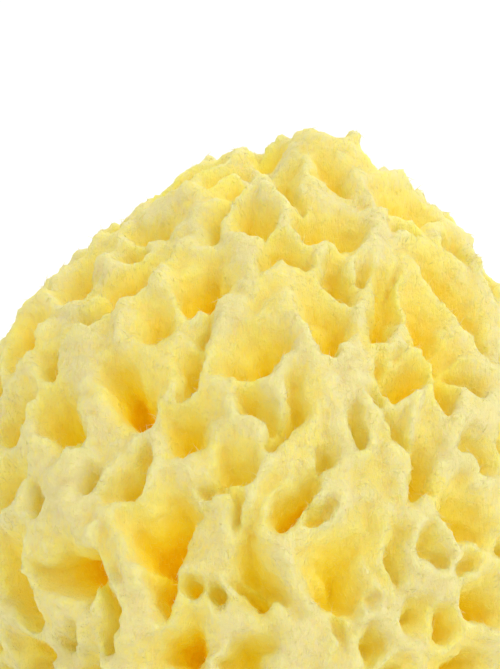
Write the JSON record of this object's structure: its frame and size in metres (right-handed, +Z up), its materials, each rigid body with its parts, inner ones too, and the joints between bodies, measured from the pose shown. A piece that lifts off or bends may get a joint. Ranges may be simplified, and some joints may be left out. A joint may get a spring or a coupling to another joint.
{
  "type": "sea sponge",
  "caption": "Rounded natural bath sponge with deep open hollows, cut flat underneath, for washing or as a display piece.",
  "frame": {"origin": "middle of the footprint, on the flat cut underneath", "axes": "+Z up from the flat cut to the crown, -Y towards the pictured side, X across it"},
  "size_m": [0.1325, 0.1174, 0.111],
  "materials": {
    "sponge_fibre": "soft matt fibre, bleached pale yellow, deeper yellow in the hollows"
  },
  "bodies": {
    "root": {"sponge": "sponge_fibre"}
  },
  "joints": []
}
